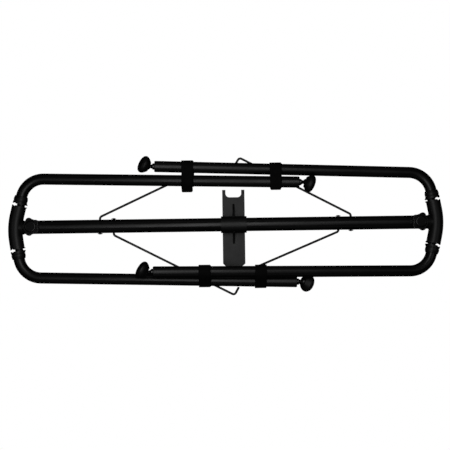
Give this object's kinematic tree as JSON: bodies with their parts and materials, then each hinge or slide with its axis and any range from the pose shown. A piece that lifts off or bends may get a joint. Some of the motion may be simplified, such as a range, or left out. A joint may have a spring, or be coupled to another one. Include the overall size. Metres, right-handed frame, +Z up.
{
  "type": "folding luggage rack",
  "caption": "Folding stand for bags: a tube spine with curved end brackets, hinged bent legs on swivel feet, wire braces and a centre saddle, strapped flat for storage.",
  "frame": {"origin": "centre of the bounding box on the surface that the folded rack lies on", "axes": "+X along the spine, +Y across it towards the side whose legs lie clear of each other, +Z up, the way the legs swing out of the fold"},
  "size_m": [0.9712, 0.3116, 0.0998],
  "materials": {
    "black_powder_coat": "satin",
    "moulded_black": "satin",
    "knob_black": "semi-gloss",
    "stud_black": "gloss",
    "pin_steel": "satin, blackened",
    "foot_rubber": "matt, mottled",
    "wire_black": "satin",
    "webbing_black": "matt"
  },
  "bodies": {
    "spine": {"spine_tube": "black_powder_coat", "centre_saddle": "moulded_black", "clamp_boss_left": "pin_steel", "clamp_boss_right": "pin_steel"},
    "bracket_left": {"end_bracket_left": "moulded_black", "pivot_pin_left_far": "pin_steel", "pivot_pin_left_near": "pin_steel"},
    "bracket_right": {"end_bracket_right": "moulded_black", "pivot_pin_right_far": "pin_steel", "pivot_pin_right_near": "pin_steel"},
    "leg_left_far": {"leg_collar_left_far": "moulded_black", "leg_tube_left_far": "black_powder_coat", "end_plug_left_far": "moulded_black", "foot_stud_left_far": "stud_black", "strap_far_left": "webbing_black", "strap_far_right": "webbing_black"},
    "socket_left_far": {"foot_liner_left_far": "knob_black"},
    "foot_left_far": {"foot_pad_left_far": "foot_rubber"},
    "leg_right_far": {"leg_collar_right_far": "moulded_black", "leg_tube_right_far": "black_powder_coat", "end_plug_right_far": "moulded_black", "foot_stud_right_far": "stud_black"},
    "socket_right_far": {"foot_liner_right_far": "knob_black"},
    "foot_right_far": {"foot_pad_right_far": "foot_rubber"},
    "leg_left_near": {"leg_collar_left_near": "moulded_black", "leg_tube_left_near": "black_powder_coat", "end_plug_left_near": "moulded_black", "foot_stud_left_near": "stud_black"},
    "socket_left_near": {"foot_liner_left_near": "knob_black"},
    "foot_left_near": {"foot_pad_left_near": "foot_rubber"},
    "leg_right_near": {"leg_collar_right_near": "moulded_black", "leg_tube_right_near": "black_powder_coat", "end_plug_right_near": "moulded_black", "foot_stud_right_near": "stud_black", "strap_near_left": "webbing_black", "strap_near_right": "webbing_black"},
    "socket_right_near": {"foot_liner_right_near": "knob_black"},
    "foot_right_near": {"foot_pad_right_near": "foot_rubber"},
    "brace_left_far": {"brace_left_far": "wire_black", "brace_clip_left_far": "pin_steel"},
    "brace_right_far": {"brace_right_far": "wire_black", "brace_clip_right_far": "pin_steel"},
    "brace_left_near": {"brace_left_near": "wire_black", "brace_clip_left_near": "pin_steel"},
    "brace_right_near": {"brace_right_near": "wire_black", "brace_clip_right_near": "pin_steel"},
    "clamp_left_travel": {"clamp_washer_left": "pin_steel"},
    "clamp_left": {"clamp_knob_left": "knob_black", "clamp_screw_left": "pin_steel"},
    "clamp_right_travel": {"clamp_washer_right": "pin_steel"},
    "clamp_right": {"clamp_knob_right": "knob_black", "clamp_screw_right": "pin_steel"}
  },
  "joints": [
    {"name": "bracket_left_twist", "type": "hinge", "parent": "spine", "child": "bracket_left", "pos_m": [-0.4695, 0.00169, 0.0186], "axis": [-1, 0, 0], "range_deg": [0, 2.4]},
    {"name": "bracket_right_twist", "type": "hinge", "parent": "spine", "child": "bracket_right", "pos_m": [0.4695, 0.00169, 0.0186], "axis": [1, 0, 0], "range_deg": [0, 2.4]},
    {"name": "leg_left_far_fold", "type": "hinge", "parent": "bracket_left", "child": "leg_left_far", "pos_m": [-0.45986, 0.05162, 0.02069], "axis": [-0.2436, -0.969, -0.0406], "range_deg": [0, 93.7]},
    {"name": "foot_left_far_swing", "type": "hinge", "parent": "leg_left_far", "child": "socket_left_far", "pos_m": [0.17996, 0.09292, 0.03629], "axis": [-0.022, -0.0363, 0.9991], "range_deg": [-12, 2]},
    {"name": "foot_left_far_tip", "type": "hinge", "parent": "socket_left_far", "child": "foot_left_far", "pos_m": [0.17996, 0.09292, 0.03629], "axis": [-0.3665, -0.9295, -0.0419], "range_deg": [-20, 20]},
    {"name": "leg_right_far_fold", "type": "hinge", "parent": "bracket_right", "child": "leg_right_far", "pos_m": [0.46363, 0.0522, 0.01648], "axis": [-0.1702, 0.9845, -0.0413], "range_deg": [0, 92.7]},
    {"name": "foot_right_far_swing", "type": "hinge", "parent": "leg_right_far", "child": "socket_right_far", "pos_m": [-0.17219, 0.13281, 0.03775], "axis": [-0.0395, -0.0487, -0.998], "range_deg": [-8, 3]},
    {"name": "foot_right_far_tip", "type": "hinge", "parent": "socket_right_far", "child": "foot_right_far", "pos_m": [-0.17219, 0.13281, 0.03775], "axis": [0.4348, 0.8985, -0.061], "range_deg": [-12, 12]},
    {"name": "leg_left_near_fold", "type": "hinge", "parent": "bracket_left", "child": "leg_left_near", "pos_m": [-0.46496, -0.04896, 0.01648], "axis": [0.1444, -0.9887, -0.0414], "range_deg": [0, 93.1]},
    {"name": "foot_left_near_swing", "type": "hinge", "parent": "leg_left_near", "child": "socket_left_near", "pos_m": [0.17106, -0.12768, 0.0337], "axis": [0.0328, 0.0466, -0.9984], "range_deg": [-1, 6]},
    {"name": "foot_left_near_tip", "type": "hinge", "parent": "socket_left_near", "child": "foot_left_near", "pos_m": [0.17106, -0.12768, 0.0337], "axis": [-0.3985, -0.9155, -0.0559], "range_deg": [-3, 3]},
    {"name": "leg_right_near_fold", "type": "hinge", "parent": "bracket_right", "child": "leg_right_near", "pos_m": [0.46117, -0.04848, 0.0207], "axis": [0.2181, 0.9751, -0.0409], "range_deg": [0, 89.7], "deforming": ["strap_far_left", "strap_far_right", "strap_near_left", "strap_near_right"]},
    {"name": "foot_right_near_swing", "type": "hinge", "parent": "leg_right_near", "child": "socket_right_near", "pos_m": [-0.17519, -0.10218, 0.07948], "axis": [0.0901, 0.0216, 0.9957], "range_deg": [-3, 40]},
    {"name": "foot_right_near_tip", "type": "hinge", "parent": "socket_right_near", "child": "foot_right_near", "pos_m": [-0.17519, -0.10218, 0.07948], "axis": [0.5182, 0.8528, -0.0654], "range_deg": [-8, 18]},
    {"name": "brace_left_far_fold", "type": "hinge", "parent": "spine", "child": "brace_left_far", "pos_m": [-0.2805, 0.00169, 0.0186], "axis": [0, -1, 0], "range_deg": [0, 125]},
    {"name": "brace_right_far_fold", "type": "hinge", "parent": "spine", "child": "brace_right_far", "pos_m": [0.279, 0.00169, 0.0186], "axis": [0, 1, 0], "range_deg": [0, 125.2]},
    {"name": "brace_left_near_fold", "type": "hinge", "parent": "spine", "child": "brace_left_near", "pos_m": [-0.25, 0.00169, 0.0186], "axis": [0, -1, 0], "range_deg": [0, 125]},
    {"name": "brace_right_near_fold", "type": "hinge", "parent": "spine", "child": "brace_right_near", "pos_m": [0.251, 0.00169, 0.0186], "axis": [0, 1, 0], "range_deg": [0, 124.4]},
    {"name": "clamp_left_lift", "type": "slide", "parent": "spine", "child": "clamp_left_travel", "axis": [0, 0, 1], "range_m": [0, 0.0025]},
    {"name": "clamp_left_turn", "type": "hinge", "parent": "clamp_left_travel", "child": "clamp_left", "pos_m": [-0.4305, 0.00169, 0.0186], "axis": [0, 0, 1], "range_deg": [0, 720.01]},
    {"name": "clamp_right_lift", "type": "slide", "parent": "spine", "child": "clamp_right_travel", "axis": [0, 0, 1], "range_m": [0, 0.0025]},
    {"name": "clamp_right_turn", "type": "hinge", "parent": "clamp_right_travel", "child": "clamp_right", "pos_m": [0.4305, 0.00169, 0.0186], "axis": [0, 0, 1], "range_deg": [0, 720.01]}
  ],
  "couplings": [
    {"joint": "bracket_left_twist", "follows": "leg_right_near_fold", "ratio": 0.026756},
    {"joint": "bracket_right_twist", "follows": "leg_right_near_fold", "ratio": 0.026756},
    {"joint": "leg_left_far_fold", "follows": "leg_right_near_fold", "ratio": 1.0446},
    {"joint": "leg_right_far_fold", "follows": "leg_right_near_fold", "ratio": 1.0334},
    {"joint": "leg_left_near_fold", "follows": "leg_right_near_fold", "ratio": 1.0379},
    {"joint": "brace_left_far_fold", "follows": "leg_right_near_fold", "ratio": 1.3935},
    {"joint": "brace_right_far_fold", "follows": "leg_right_near_fold", "ratio": 1.3958},
    {"joint": "brace_left_near_fold", "follows": "leg_right_near_fold", "ratio": 1.3935},
    {"joint": "brace_right_near_fold", "follows": "leg_right_near_fold", "ratio": 1.3868},
    {"joint": "clamp_left_turn", "follows": "clamp_left_lift", "rad_per_m": 5026.5},
    {"joint": "clamp_right_turn", "follows": "clamp_right_lift", "rad_per_m": 5026.5}
  ]
}
